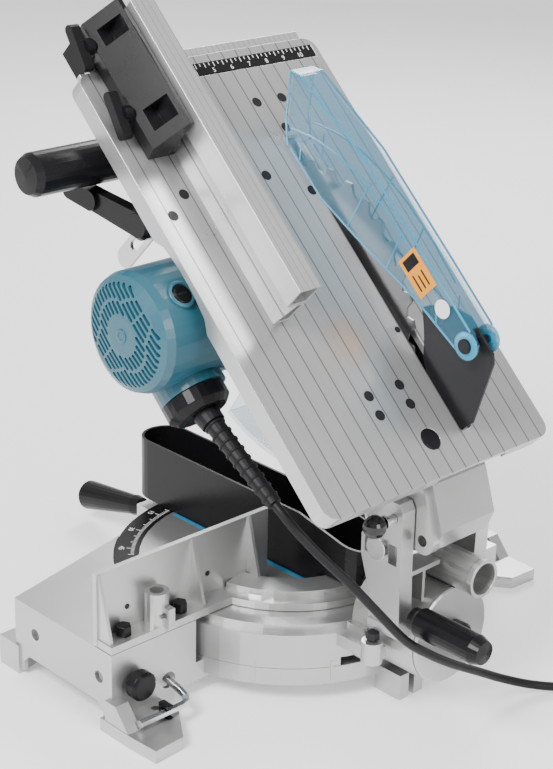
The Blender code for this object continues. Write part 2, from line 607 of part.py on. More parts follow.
def motor():
    centre = (MOTOR_Y, MOTOR_Z)
    shell = turned("X", centre, [(0, 0.0752), (MOTOR_R, 0.0752), (MOTOR_R, 0.1960),
                                 (MOTOR_R - 0.0025, 0.2030), (MOTOR_R - 0.0100, 0.2075),
                                 (0.0150, MOTOR_END),
                                 (0, MOTOR_END)], 40)
    collar = rod("Y", (0.158, 0.010), 0.0290, -0.2150, -0.1702, 28)
    inner = MOTOR_R - 0.0038
    room = turned("X", centre, [(0, 0.07), (inner, 0.07), (inner, 0.1950), (inner - 0.0022, 0.2000),
                                (inner - 0.0082, 0.2035), (0, 0.2060)], 32)
    solid("motor_housing", HEAD, "teal_plastic", shell, add=[collar], cut=[room])
    switch = turned("Y", (0.160, 0.010), [(0, -0.1698), (0.0275, -0.1698), (0.0275, -0.1580),
                                          (0.0220, -0.1525), (0, -0.1510)], 28)
    solid("switch_housing", HEAD, "black_plastic", switch)
    sleeve = tapered((0.160, -0.1500, 0.0143), (0.160, -0.0575, 0.0335), 0.0085, 0.0062, 18)
    foot = tapered((0.160, -0.1505, 0.0142), (0.160, -0.1400, 0.0164), 0.0115, 0.0105, 18)
    solid("cord_guard", HEAD, "rubber_black", sleeve, add=[foot],
          cut=[turned("Y", (0.160, 0.010), [(0, -0.17), (0.029, -0.17), (0.029, -0.158),
                                            (0.0223, -0.1522), (0, -0.1507)], 28)])
    outer = MOTOR_R - 0.0045
    stator = turned("X", centre, [(0.0305, 0.0950), (outer, 0.0950), (outer, 0.1600),
                                  (0.0305, 0.1600)], 28)
    solid("stator", HEAD, "copper", stator)
    core = turned("X", centre, [(0, 0.0480), (0.0080, 0.0480), (0.0080, 0.0590), (0.0042, 0.0590),
                                (0.0042, 0.0980), (0.0280, 0.0980), (0.0280, 0.1570),
                                (0.0042, 0.1570), (0.0042, 0.1680), (0.0130, 0.1680),
                                (0.0130, 0.1840), (0.0042, 0.1840), (0.0042, 0.2040),
                                (0, 0.2040)], 20)
    solid("armature", HEAD, "dark_steel", core, pivot=(0.1, *centre))
    rim = MOTOR_R - 0.0100
    disc = turned("X", centre, [(0.0045, 0.0800), (rim, 0.0800), (rim, 0.0830),
                                (0.0120, 0.0830), (0.0120, 0.0900), (0.0045, 0.0900)], 24)
    blades = []
    for i in range(6):
        a = 2 * pi * i / 6
        blade = box(0.0820, 0.0900, 0.0110, rim - 0.0010, -0.001, 0.001)
        turn = Matrix.Rotation(a, 3, "X")
        bmesh.ops.rotate(blade, cent=(0, 0, 0), matrix=turn, verts=blade.verts)
        bmesh.ops.translate(blade, vec=(0, *centre), verts=blade.verts)
        blades.append(blade)
    solid("motor_fan", HEAD, "black_plastic", disc, add=blades, pivot=(0.08, *centre))


def blade_group():
    centre = (BLADE_Y, BLADE_Z)
    teeth = 36
    outline = []
    for i in range(teeth):
        a = 2 * pi * i / teeth
        for share, r in ((0.0, BLADE_R), (0.30, BLADE_R - 0.0015), (0.42, BLADE_R - 0.0085),
                         (0.75, BLADE_R - 0.0070)):
            b = a + 2 * pi / teeth * share
            outline.append((centre[0] + r * cos(b), centre[1] + r * sin(b)))
    blade = prism("X", outline, -BLADE_T / 2, BLADE_T / 2)
    bore = rod("X", centre, 0.0063, -0.01, 0.01, 16)
    solid("blade", HEAD, "blade_grey", blade, cut=[bore], pivot=(0, *centre))
    spindle = turned("X", centre, [(0, -0.0050), (0.0060, -0.0050), (0.0060, 0.0014),
                                   (0.0220, 0.0014), (0.0220, 0.0045), (0.0120, 0.0072),
                                   (0.0060, 0.0072), (0.0060, 0.0475), (0.0175, 0.0475),
                                   (0.0175, 0.0575), (0.0060, 0.0575), (0.0060, 0.0598),
                                   (0, 0.0598)], 24)
    solid("spindle", HEAD, "dark_steel", spindle, pivot=(0.02, *centre))
    flange = turned("X", centre, [(0, -0.0070), (0.0120, -0.0070), (0.0200, -0.0045),
                                  (0.0200, -0.0014), (0.0063, -0.0014), (0.0063, -0.0053),
                                  (0, -0.0053)], 24)
    bolt = prism("X", circle(centre, 0.0085, 6), -0.0120, -0.0065)
    solid("blade_bolt", HEAD, "dark_steel", flange, add=[bolt], pivot=(0, *centre))


def lower_guard():
    centre = (BLADE_Y, BLADE_Z)
    a0, a1 = GUARD_FROM, GUARD_TO
    rim = prism("X", sector(centre, GUARD_R - 0.0024, GUARD_R, a0, a1, 14), -0.0130, 0.0130)
    right = prism("X", sector(centre, 0.0300, GUARD_R - 0.0005, a0, a1, 14), 0.0106, 0.0130)
    left = prism("X", sector(centre, 0.0900, GUARD_R - 0.0005, a0, a1, 14), -0.0130, -0.0106)
    hub = turned("X", centre, [(0.0240, 0.0106), (0.0330, 0.0106), (0.0330, 0.0130),
                               (0.0240, 0.0130)], 28)
    clear = rod("X", centre, 0.0240, 0.0, 0.02, 28)
    solid("lower_guard", HEAD, "clear_blue", right, add=[hub, rim, left], cut=[clear],
          pivot=(0, *centre))


def side_cover():
    plate = prism("X", [(-0.085, 0.0905), (-0.085, 0.060), (-0.120, 0.045), (-0.190, 0.040),
                        (-0.250, 0.040), (-0.320, 0.050), (-0.350, 0.070), (-0.350, 0.0905)],
                  -0.0190, -0.0165)
    lip = box(-0.0300, -0.0170, -0.3500, -0.0850, 0.0885, 0.0912)
    solid("side_cover", TABLE, "black_plastic", plate, add=[lip])


def knife_and_guard():
    inner = arc((BLADE_Y, BLADE_Z), 0.140, 58, 41, 5)
    knife = prism("X", [*inner, (-0.086, 0.086), (-0.0675, 0.0720), (-0.0447, 0.0720),
                        (-0.0447, 0.0985), (-0.0436, 0.1075), (-0.0690, 0.1590),
                        (-0.0760, 0.1645), (-0.1120, 0.1645), (-0.1260, 0.1560),
                        (-0.1410, 0.1330)],
                  -0.00125, 0.00125)
    hole = rod("X", (-0.092, 0.156), 0.0040, -0.01, 0.01, 14)
    solid("riving_knife", HEAD, "dark_steel", knife, cut=[hole])
    bush = rod("X", (-0.092, 0.156), 0.0036, -0.0140, 0.0140, 14)
    heads = [rod("X", (-0.092, 0.156), 0.0062, 0.0134, 0.0165, 14),
             rod("X", (-0.092, 0.156), 0.0062, -0.0165, -0.0134, 14)]
    solid("guard_bush", HEAD, "black_plastic", bush, add=heads, pivot=(0, -0.092, 0.156))
    outer = [(0.3117, 0.0015), (0.3286, 0.0164), (0.3525, 0.0488), (0.3430, 0.0561),
             (0.2550, 0.0695), (0.1500, 0.0707), (0.0830, 0.0707), (0.0720, 0.0685),
             (0.0668, 0.0620), (0.0668, 0.0540), (0.0710, 0.0480), (0.0765, 0.0465),
             (0.1329, 0.0364), (0.1959, 0.0181), (0.2544, 0.0032)]
    room = [(0.3030, -0.005), (0.3262, 0.0175), (0.3490, 0.0482), (0.3420, 0.0535),
            (0.2550, 0.0668), (0.1500, 0.0682), (0.0860, 0.0682), (0.0860, 0.0800),
            (0.0500, 0.0800), (0.0500, 0.0300), (0.1000, 0.0150), (0.1975, -0.005)]
    shell = prism("X", [flat_side(p) for p in outer], -0.0130, 0.0130)
    inside = prism("X", [flat_side(p) for p in room], -0.0108, 0.0108)
    bore = rod("X", (-0.092, 0.156), 0.0039, -0.02, 0.02, 14)
    solid("top_guard", HEAD, "clear_blue", shell, cut=[inside, bore], pivot=(0, -0.092, 0.156))


def flat_side(point):
    """A point in the head's frame from its distance s to the table's back edge and height h."""
    return (TABLE_BACK - point[0], TABLE_TOP + point[1])


def handle():
    centre = (-0.371, 0.050)
    grip = turned("X", centre, [(0, 0.0725), (0.0165, 0.0725), (0.0180, 0.0750), (0.0180, 0.2250),
                                (0.0150, 0.2310), (0, 0.2320)], 28)
    recess = box(0.108, 0.170, -0.3815, -0.3605, 0.020, 0.0430)
    button_hole = rod("Z", (0.135, -0.371), 0.0055, 0.0600, 0.0800, 14)
    solid("handle_grip", HEAD, "black_plastic", grip, cut=[recess, button_hole])
    trigger = prism("Y", [(0.1090, 0.0385), (0.1090, 0.0320), (0.1200, 0.0285), (0.1560, 0.0285),
                          (0.1690, 0.0320), (0.1690, 0.0385)], -0.3805, -0.3615)
    solid("trigger", HEAD, "black_plastic", trigger)
    button = turned("Z", (0.135, -0.371), [(0, 0.0630), (0.0050, 0.0630), (0.0050, 0.0700),
                                          (0.0035, 0.0712), (0, 0.0712)], 14)
    solid("lock_button", HEAD, "black_plastic", button)


def height_clamp():
    stud = rod("X", (STUD_Y, STUD_Z), 0.0040, 0.1050, 0.1530, 14)
    solid("clamp_stud", HEAD, "steel", stud, pivot=(0.15, STUD_Y, STUD_Z))
    hub = turned("X", (STUD_Y, STUD_Z), [(0, 0.1534), (0.0110, 0.1534), (0.0125, 0.1550),
                                         (0.0125, 0.1640), (0.0100, 0.1665), (0, 0.1665)], 20)
    arm = prism("X", hull((STUD_Y, STUD_Z, 0.0105), (-0.360, 0.019, 0.0085), count=16),
                0.1550, 0.1660)
    knob = prism("X", hull((-0.350, 0.0265, 0.0085), (-0.372, 0.0105, 0.0080), count=16),
                 0.1545, 0.1690)
    solid("height_lever", HEAD, "black_plastic", hub, add=[arm, knob],
          pivot=(0.155, STUD_Y, STUD_Z))
    plate = prism("X", hull((STUD_Y, 0.0070, 0.0090), (STUD_Y, 0.0830, 0.0090), count=20),
                  0.1462, 0.1492)
    foot = box(0.1400, 0.1492, -0.3200, -0.2840, 0.0830, 0.0915)
    slot = prism("X", hull((STUD_Y, 0.0250, 0.0046), (STUD_Y, 0.0613, 0.0046), count=14),
                 0.13, 0.16)
    solid("link_plate", TABLE, "steel", plate, add=[foot], cut=[slot])


def table_plate():
    front = TABLE_BACK - TABLE_LENGTH
    slab = prism("Z", rounded(TABLE_LEFT, TABLE_RIGHT, front, TABLE_BACK, 0.012, 5),
                 SKIRT_BOTTOM, TABLE_TOP)
    room = prism("Z", rounded(TABLE_LEFT + 0.004, TABLE_RIGHT - 0.004, front + 0.004,
                              TABLE_BACK - 0.004, 0.008, 4), 0.07, TABLE_TOP - TABLE_T)
    relief = prism("X", [(-0.279, 0.080), (-0.266, 0.0885), (-0.245, 0.0915), (-0.222, 0.0915),
                         (-0.200, 0.0885), (-0.186, 0.080)], 0.165, 0.18)
    back_relief = box(-0.034, 0.048, -0.03, -0.010, 0.07, 0.0915)
    slot = prism("Z", rounded(-0.0065, 0.0065, -0.333, -0.043, 0.003, 3), 0.08, 0.11)
    cap_hole = rod("Z", (0.0409, -0.0461), 0.0096, 0.08, 0.11, 20)
    scale_seat = box(-0.0783, 0.1083, -0.4164, -0.4038, TABLE_TOP - 0.0012, 0.11)
    solid("table_plate", TABLE, "table_silver", slab,
          cut=[room, relief, back_relief, slot, cap_hole, scale_seat])
    cap = turned("Z", (0.0409, -0.0461), [(0, 0.0925), (0.0093, 0.0925), (0.0093, 0.0980),
                                         (0.0080, 0.0985), (0, 0.0985)], 20)
    solid("hole_cap", TABLE, "black_plastic", cap)
    rail = prism("X", [(front - GAP, 0.0780), (front - 0.009, 0.0780), (front - 0.009, 0.0960),
                       (front - GAP, 0.0960)], -0.073, 0.160)
    groove = prism("X", [(front - 0.004, 0.0840), (front - 0.010, 0.0840), (front - 0.010, 0.0900),
                         (front - 0.004, 0.0900)], -0.08, 0.17)
    solid("front_rail", TABLE, "table_silver", rail, cut=[groove])
    strip = box(-0.078, 0.108, -0.4161, -0.4041, TABLE_TOP - 0.0009, TABLE_TOP - 0.0002)
    solid("table_scale", TABLE, "black_plastic", strip)
    for number, (x, y, low) in enumerate([(0.0285, -0.075, 0.026), (0.0600, -0.287, 0.034)], 1):
        post = rod("Z", (x, y), 0.0050, low, TABLE_TOP - TABLE_T - GAP, 16)
        solid(f"guide_rod_{number}", TABLE, "steel", post)


def rip_fence():
    low, z = -0.4521, TABLE_TOP + GAP
    high = -0.1761
    bar = prism("Y", [(0.110, z), (0.1265, z), (0.1185, z + 0.0265), (0.1305, z + 0.0275),
                      (0.133, z + 0.0520), (0.110, z + 0.0520)], low, high)
    upper = prism("Y", [(0.1122, z + 0.0300), (0.1287, z + 0.0298), (0.1307, z + 0.0496),
                        (0.1122, z + 0.0496)], low - 0.01, high + 0.01)
    lower = prism("Y", [(0.1122, z + 0.0025), (0.1230, z + 0.0025), (0.1165, z + 0.0245),
                        (0.1122, z + 0.0245)], low - 0.01, high + 0.01)
    solid("rip_fence_bar", TABLE, "table_silver", bar, cut=[upper, lower])
    back, front = TABLE_BACK - 0.324, TABLE_BACK - 0.446
    holder = prism("Y", [(0.1275, z), (0.1540, z), (0.1575, z + 0.015), (0.1380, z + 0.045),
                         (0.1336, z + 0.045), (0.1336, z + 0.022), (0.1275, z + 0.010)],
                   front, back)
    clamp = box(0.1310, 0.1565, front, TABLE_BACK - TABLE_LENGTH - 0.0100, 0.0740, z + 0.010)
    pocket_1 = box(0.1400, 0.1600, -0.3700, -0.3500, z + 0.022, z + 0.05)
    pocket_2 = box(0.1400, 0.1600, -0.4480, -0.4320, z + 0.022, z + 0.05)
    solid("rip_fence_holder", TABLE, "black_plastic", holder, add=[clamp],
          cut=[pocket_1, pocket_2])
    for number, y in enumerate((-0.3745, -0.4400), 1):
        at = (y, z + 0.0125)
        hub = turned("X", at, [(0, 0.1582), (0.0070, 0.1582), (0.0070, 0.1660), (0, 0.1660)], 18)
        wing = prism("X", hull((y - 0.0150, z + 0.0165, 0.0045), (y + 0.0150, z + 0.0085, 0.0045),
                               count=12), 0.1650, 0.1740)
        solid(f"paddle_knob_{number}", TABLE, "black_plastic", hub, add=[wing],
              pivot=(0.16, *at))


def cord():
    route = [(0.1600, 0.14855, 0.22455), (0.1598, 0.15700, 0.21925), (0.1560, 0.16750, 0.20850),
             (0.1440, 0.18150, 0.18900), (0.1245, 0.19750, 0.16300), (0.1020, 0.20900, 0.13300),
             (0.0760, 0.21600, 0.10150), (0.0500, 0.21900, 0.08050), (0.0200, 0.22000, 0.06000),
             (-0.0150, 0.22000, 0.03900), (-0.0450, 0.22300, 0.02150),
             (-0.0720, 0.23300, 0.00950), (-0.0960, 0.24900, 0.00480),
             (-0.1200, 0.26000, 0.0045), (-0.1480, 0.2605, 0.0045)]
    tube("power_cord", None, "rubber_black", smooth(route, 44), CORD_R, 2)
    ring = turned("Z", COIL_AT, [
        (COIL_R - 0.0105, 0.0060), (COIL_R - 0.0060, 0.0004), (COIL_R + 0.0060, 0.0004),
        (COIL_R + 0.0105, 0.0060), (COIL_R + 0.0105, 0.0150), (COIL_R + 0.0060, 0.0205),
        (COIL_R - 0.0060, 0.0205), (COIL_R - 0.0105, 0.0150),
    ], 40)
    solid("cord_coil", None, "rubber_black", ring)
    x, y = COIL_AT[0] + COIL_R + 0.0115, COIL_AT[1]
    body = box(x, x + 0.026, y - 0.018, y + 0.014, 0.0004, 0.0240)
    pins = [rod("X", (y + dy, 0.012), 0.0024, x + 0.024, x + 0.045, 12) for dy in (-0.0115, 0.0075)]
    solid("plug", None, "black_plastic", body, add=pins)


base_casting()
mitre_scale()
fence_shape()
fence_bolts()
base_fittings()
blade_box()
turn_base()
turn_fittings()
tilt_bracket()
tilt_fittings()
head_casting()
return_spring()
motor()
blade_group()
lower_guard()
side_cover()
knife_and_guard()
handle()
height_clamp()
table_plate()
rip_fence()
cord()
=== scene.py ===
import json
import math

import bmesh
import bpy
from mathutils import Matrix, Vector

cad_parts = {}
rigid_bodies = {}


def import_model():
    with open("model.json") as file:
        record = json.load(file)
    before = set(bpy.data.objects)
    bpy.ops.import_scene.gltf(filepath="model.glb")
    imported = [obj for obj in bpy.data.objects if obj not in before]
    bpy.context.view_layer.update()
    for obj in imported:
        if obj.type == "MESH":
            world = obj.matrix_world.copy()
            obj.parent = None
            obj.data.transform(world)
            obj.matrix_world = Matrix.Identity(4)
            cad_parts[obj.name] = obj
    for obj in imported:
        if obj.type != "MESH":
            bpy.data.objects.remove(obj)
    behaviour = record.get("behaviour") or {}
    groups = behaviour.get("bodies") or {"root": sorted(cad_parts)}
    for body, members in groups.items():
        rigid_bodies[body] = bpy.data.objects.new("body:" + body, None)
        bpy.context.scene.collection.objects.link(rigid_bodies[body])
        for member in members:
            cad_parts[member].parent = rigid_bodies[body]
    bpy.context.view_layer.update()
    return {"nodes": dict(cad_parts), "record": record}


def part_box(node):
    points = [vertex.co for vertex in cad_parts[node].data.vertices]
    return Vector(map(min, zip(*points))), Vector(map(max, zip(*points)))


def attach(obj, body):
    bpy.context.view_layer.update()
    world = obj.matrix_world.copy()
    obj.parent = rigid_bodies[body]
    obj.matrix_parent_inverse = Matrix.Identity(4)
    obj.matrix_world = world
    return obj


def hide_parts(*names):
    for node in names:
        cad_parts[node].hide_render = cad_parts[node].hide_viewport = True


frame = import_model()

# %% [markdown]
# # A mitre saw with a table on top
# The solid pieces of the saw are already there: a cast base, a turntable, a tilting bracket, a
# head with its motor and blade, and a small saw table on the head. This lesson dresses them:
# camera and lead first, then the finishes, then the small fittings that a casting or a moulding
# carries, such as screws, vent slots, scale marks and ribs.

RECORD = frame["record"]

# %% [markdown]
# ## Two places to measure from
# Most fittings sit on the head, which stands tipped up at rest. It is far easier to say where a
# screw is when the head lies flat, and to tip it afterwards, so one matrix does that.

# %% The head's own place
TIP = math.radians(-43.7)
HINGE = (0, 0.166, 0.161)
HEAD = Matrix.Translation(HINGE) @ Matrix.Rotation(TIP, 4, "X")
WORLD = Matrix.Identity(4)
# With the head lying flat: the table's face and rear edge, the motor's axis, the guard's hinge.
TABLE_Z = 0.098
TABLE_BACK = -0.0141
MOTOR_Y, MOTOR_Z = -0.2276, 0.031
HUB_Y, HUB_Z = -0.092, 0.156
print("table normal:", [round(v, 3) for v in (HEAD.to_3x3() @ Vector((0, 0, 1)))])

# %% [markdown]
# ## The camera
# A camera is placed with a bearing, a height angle and a small roll. Its axes are built from
# those, so nothing has to be aimed by eye.

# %% Camera
def make_camera(azimuth, elevation, roll, place, lens):
    az, el, r = (math.radians(v) for v in (azimuth, elevation, roll))
    back = Vector((math.sin(az) * math.cos(el), -math.cos(az) * math.cos(el), math.sin(el)))
    right = (-back).cross(Vector((0, 0, 1))).normalized()
    up = right.cross(-back)
    x = right * math.cos(r) + up * math.sin(r)
    y = -right * math.sin(r) + up * math.cos(r)
    data = bpy.data.cameras.new("camera")
    data.sensor_fit = "VERTICAL"
    data.sensor_height = 24
    data.lens = lens
    data.clip_start = 0.05
    camera = bpy.data.objects.new("camera", data)
    turn = Matrix((x, y, back)).transposed()
    camera.matrix_world = Matrix.Translation(place) @ turn.to_4x4()
    bpy.context.scene.collection.objects.link(camera)
    bpy.context.scene.camera = camera
    return camera


camera = make_camera(azimuth=136.0485, elevation=21.7971, roll=1.2689,
                     place=(1.0486, 1.0685, 0.8367), lens=56.95)
print("camera at", [round(v, 3) for v in camera.location])

# %% [markdown]
# ## Materials, and texture that several of them share
# Castings, mouldings and machined faces differ mostly in their grain. Two node groups carry it:
# one for fine speckle, one for straight lines from a tool or a die. Each gives a value between
# 0 and 1, and the material decides what to do with it.

# %% Node group: speckle
def new_group(name, inputs, outputs):
    group = bpy.data.node_groups.new(name, "ShaderNodeTree")
    for label, default in inputs:
        socket = group.interface.new_socket(label, in_out="INPUT", socket_type="NodeSocketFloat")
        socket.default_value = default
    for label in outputs:
        group.interface.new_socket(label, in_out="OUTPUT", socket_type="NodeSocketFloat")
    return group, group.nodes.new("NodeGroupInput"), group.nodes.new("NodeGroupOutput")


def speckle_group():
    group, source, result = new_group("speckle", [("Scale", 900.0), ("Cloud Scale", 14.0)],
                                      ["Grain", "Cloud"])
    where = group.nodes.new("ShaderNodeTexCoord")
    for label, socket, detail in (("Grain", "Scale", 3.0), ("Cloud", "Cloud Scale", 4.0)):
        noise = group.nodes.new("ShaderNodeTexNoise")
        noise.inputs["Detail"].default_value = detail
        group.links.new(where.outputs["Object"], noise.inputs["Vector"])
        group.links.new(source.outputs[socket], noise.inputs["Scale"])
        group.links.new(noise.outputs["Fac"], result.inputs[label])
    return group


SPECKLE = speckle_group()
print("group", SPECKLE.name, "gives", [s.name for s in SPECKLE.interface.items_tree])

# %% Node group: straight lines
def lines_group():
    group, source, result = new_group("tool_lines", [("Across", 1500.0), ("Along", 6.0)],
                                      ["Lines"])
    where = group.nodes.new("ShaderNodeTexCoord")
    apart = group.nodes.new("ShaderNodeSeparateXYZ")
    joined = group.nodes.new("ShaderNodeCombineXYZ")
    noise = group.nodes.new("ShaderNodeTexNoise")
    noise.inputs["Scale"].default_value = 1.0
    noise.inputs["Detail"].default_value = 2.0
    group.links.new(where.outputs["Object"], apart.inputs[0])
    for axis, socket in (("X", "Across"), ("Y", "Along"), ("Z", "Along")):
        times = group.nodes.new("ShaderNodeMath")
        times.operation = "MULTIPLY"
        group.links.new(apart.outputs[axis], times.inputs[0])
        group.links.new(source.outputs[socket], times.inputs[1])
        group.links.new(times.outputs[0], joined.inputs[axis])
    group.links.new(joined.outputs[0], noise.inputs["Vector"])
    group.links.new(noise.outputs["Fac"], result.inputs["Lines"])
    return group


LINES = lines_group()
print("group", LINES.name)

# %% [markdown]
# ## One maker for the finishes
# A finish is a base colour with a slightly darker and lighter neighbour, a roughness that wanders
# by a few hundredths, and a bump so small that it only breaks up the highlight.

# %% A finish from its numbers
CLOUD_SCALE = 14.0
RAMP_SPAN = (0.3, 0.7)
ROUGH_WANDER = 0.07
SMOOTHEST = 0.03


def finish(name, colour, metallic, roughness, grain=900.0, bump=0.00003, vary=0.12, lines=None):
    made = bpy.data.materials.new(name)
    made.use_nodes = True
    tree = made.node_tree
    shader = tree.nodes["Principled BSDF"]
    shader.inputs["Metallic"].default_value = metallic
    speckle = tree.nodes.new("ShaderNodeGroup")
    speckle.node_tree = SPECKLE
    speckle.inputs["Scale"].default_value = grain
    speckle.inputs["Cloud Scale"].default_value = CLOUD_SCALE
    detail = speckle.outputs["Grain"]
    if lines:
        tool = tree.nodes.new("ShaderNodeGroup")
        tool.node_tree = LINES
        tool.inputs["Across"].default_value = lines[0]
        tool.inputs["Along"].default_value = lines[1]
        detail = tool.outputs["Lines"]
    ramp = tree.nodes.new("ShaderNodeValToRGB")
    low = [max(0.0, c * (1 - vary)) for c in colour]
    high = [min(1.0, c * (1 + vary)) for c in colour]
    for element, spot, shade in zip(ramp.color_ramp.elements, RAMP_SPAN, (low, high)):
        element.position = spot
        element.color = (*shade, 1)
    mix = tree.nodes.new("ShaderNodeMath")
    mix.operation = "ADD"
    half = tree.nodes.new("ShaderNodeMath")
    half.operation = "MULTIPLY"
    half.inputs[1].default_value = 0.5
    tree.links.new(speckle.outputs["Cloud"], mix.inputs[0])
    tree.links.new(detail, mix.inputs[1])
    tree.links.new(mix.outputs[0], half.inputs[0])
    tree.links.new(half.outputs[0], ramp.inputs["Fac"])
    tree.links.new(ramp.outputs["Color"], shader.inputs["Base Color"])
    rough = tree.nodes.new("ShaderNodeMapRange")
    rough.inputs["To Min"].default_value = max(SMOOTHEST, roughness - ROUGH_WANDER)
    rough.inputs["To Max"].default_value = roughness + ROUGH_WANDER
    tree.links.new(speckle.outputs["Cloud"], rough.inputs["Value"])
    tree.links.new(rough.outputs["Result"], shader.inputs["Roughness"])
    relief = tree.nodes.new("ShaderNodeBump")
    relief.inputs["Distance"].default_value = bump
    tree.links.new(detail, relief.inputs["Height"])
    tree.links.new(relief.outputs["Normal"], shader.inputs["Normal"])
    return made


# Each line: name, colour, metallic, roughness, grain scale, bump in metres, spread of colour.
SILVER = finish("silver_paint", (0.50, 0.50, 0.495), 0.85, 0.33, 1400.0, 0.00006, 0.07)
STEEL = finish("bright_steel", (0.62, 0.62, 0.63), 1.0, 0.22, 700.0, 0.00001, 0.06)
DARK = finish("black_oxide", (0.016, 0.016, 0.018), 0.3, 0.40, 800.0, 0.00002, 0.2)
BLACK = finish("black_moulding", (0.0060, 0.0060, 0.0068), 0.0, 0.27, 1100.0, 0.00005, 0.15)
GLOSS = finish("polished_knob", (0.008, 0.008, 0.009), 0.0, 0.10, 300.0, 0.000004, 0.1)
TEAL = finish("teal_moulding", (0.020, 0.092, 0.130), 0.0, 0.34, 1300.0, 0.00004, 0.06)
BOARD = finish("blue_board", (0.03, 0.17, 0.30), 0.0, 0.42, 1100.0, 0.00004, 0.08)
COPPER = finish("wound_copper", (0.50, 0.20, 0.08), 1.0, 0.35, 500.0, 0.00006, 0.2)
RUBBER = finish("black_rubber", (0.010, 0.010, 0.011), 0.0, 0.46, 1000.0, 0.00004, 0.12)
WHITE = finish("white_mark", (0.82, 0.82, 0.80), 0.0, 0.5, 800.0, 0.00001, 0.03)
BLADE = finish("saw_steel", (0.13, 0.13, 0.135), 0.9, 0.33, 900.0, 0.00002, 0.14)
ORANGE = finish("orange_sticker", (0.80, 0.30, 0.02), 0.0, 0.38, 600.0, 0.00001, 0.04)
# The blacks send back less light than a shader does by itself.
for black, gloss in ((BLACK, 0.20), (RUBBER, 0.18), (DARK, 0.30)):
    black.node_tree.nodes["Principled BSDF"].inputs["Specular IOR Level"].default_value = gloss
print("finishes:", len(bpy.data.materials))

# %% [markdown]
# ## The extruded table
# The table and its fence are drawn aluminium. The die leaves shallow grooves the whole way along,
# 15.7 mm apart on the table and 6 mm apart on the fence, and hair lines between them. Grooves
# repeat evenly, so they come from the fraction of a scaled distance across the piece. The grooves
# are not cut: each is a darker stripe painted into the colour, painted shade for the shade inside
# it.

# %% Grooved aluminium
# Painted shade: inside each groove stripe the colour is multiplied by this, in place of the shade
# a real groove holds.
GROOVE_PAINTED_SHADE = (0.42, 0.42, 0.42, 1)
DIE_LINES = (1400.0, 5.0)


def grooved(name, colour, pitch, share, first):
    made = finish(name, colour, 0.75, 0.30, bump=0.00002, vary=0.10, lines=DIE_LINES)
    tree = made.node_tree
    where = tree.nodes.new("ShaderNodeTexCoord")
    apart = tree.nodes.new("ShaderNodeSeparateXYZ")
    tree.links.new(where.outputs["Object"], apart.inputs[0])
    value = apart.outputs["X"]
    for operation, number in (("SUBTRACT", first), ("DIVIDE", pitch), ("FRACT", 0.0),
                              ("LESS_THAN", share)):
        step = tree.nodes.new("ShaderNodeMath")
        step.operation = operation
        step.inputs[1].default_value = number
        tree.links.new(value, step.inputs[0])
        value = step.outputs[0]
    shader = tree.nodes["Principled BSDF"]
    before = shader.inputs["Base Color"].links[0].from_socket
    # Painted shade: the groove stripes darken the base colour here.
    dark = tree.nodes.new("ShaderNodeMix")
    dark.data_type = "RGBA"
    dark.blend_type = "MULTIPLY"
    dark.inputs["B"].default_value = GROOVE_PAINTED_SHADE
    tree.links.new(value, dark.inputs["Factor"])
    tree.links.new(before, dark.inputs["A"])
    tree.links.new(dark.outputs["Result"], shader.inputs["Base Color"])
    return made


TABLE = grooved("drawn_table", (0.50, 0.50, 0.50), pitch=0.0157, share=0.085, first=-0.0720)
DRAWN = grooved("drawn_fence", (0.58, 0.58, 0.58), pitch=0.0060, share=0.07, first=0.1108)
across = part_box("table_plate")
print("grooves every 15.7 mm over", round(across[1].x - across[0].x, 3))

# %% [markdown]
# ## Clear blue mouldings
# The guards are clear plastic with a blue tint: light passes through the walls and gathers at the
# edges, so they look pale in the middle and deep blue along each rim. A plain tinted surface that
# lets most of the light through shows the blade inside.

# %% Clear blue
def clear_finish(name, low, high, cloud, roughness):
    """A tinted clear plastic. Whoever calls this says how much light it lets through."""
    made = bpy.data.materials.new(name)
    made.use_nodes = True
    tree = made.node_tree
    shader = tree.nodes["Principled BSDF"]
    speckle = tree.nodes.new("ShaderNodeGroup")
    speckle.node_tree = SPECKLE
    speckle.inputs["Cloud Scale"].default_value = cloud
    ramp = tree.nodes.new("ShaderNodeValToRGB")
    ramp.color_ramp.elements[0].color = (*low, 1)
    ramp.color_ramp.elements[1].color = (*high, 1)
    tree.links.new(speckle.outputs["Cloud"], ramp.inputs["Fac"])
    tree.links.new(ramp.outputs["Color"], shader.inputs["Base Color"])
    shader.inputs["Roughness"].default_value = roughness
    return made, tree, shader


def clear_blue():
    made, tree, shader = clear_finish("clear_blue", (0.02, 0.21, 0.36), (0.04, 0.28, 0.44),
                                      cloud=9.0, roughness=0.07)
    rim = tree.nodes.new("ShaderNodeLayerWeight")
    rim.inputs["Blend"].default_value = 0.35
    span = tree.nodes.new("ShaderNodeMapRange")
    span.inputs["To Min"].default_value = 0.06
    span.inputs["To Max"].default_value = 0.60
    tree.links.new(rim.outputs["Facing"], span.inputs["Value"])
    tree.links.new(span.outputs["Result"], shader.inputs["Alpha"])
    return made


CLEAR = clear_blue()
BY_SLOT = {
    "cast_silver": SILVER, "table_silver": TABLE, "steel": STEEL, "dark_steel": DARK,
    "blade_grey": BLADE, "black_plastic": BLACK, "black_gloss": GLOSS, "teal_plastic": TEAL,
    "blue_board": BOARD, "clear_blue": CLEAR, "copper": COPPER, "rubber_black": RUBBER,
}
print("clear parts: lower_guard, top_guard")

# %% [markdown]
# ## Dressing the solid pieces
# Every solid gets the finish of its slot, and its points are welded. A real casting or moulding
# has no knife edges, so later a narrow bevel runs round every corner sharper than 35 degrees.

# %% Finish and welded points for each solid
DRAWN_PIECES = ("rip_fence_bar", "front_rail")
WELD_DISTANCE = 0.00001
SHARP = math.radians(35)


def dress(name, slot):
    piece = frame["nodes"][name]
    piece.data.materials.clear()
    piece.data.materials.append(DRAWN if name in DRAWN_PIECES else BY_SLOT[slot])
    for face in piece.data.polygons:
        face.material_index = 0
    weld = piece.modifiers.new("weld", "WELD")
    weld.merge_threshold = WELD_DISTANCE


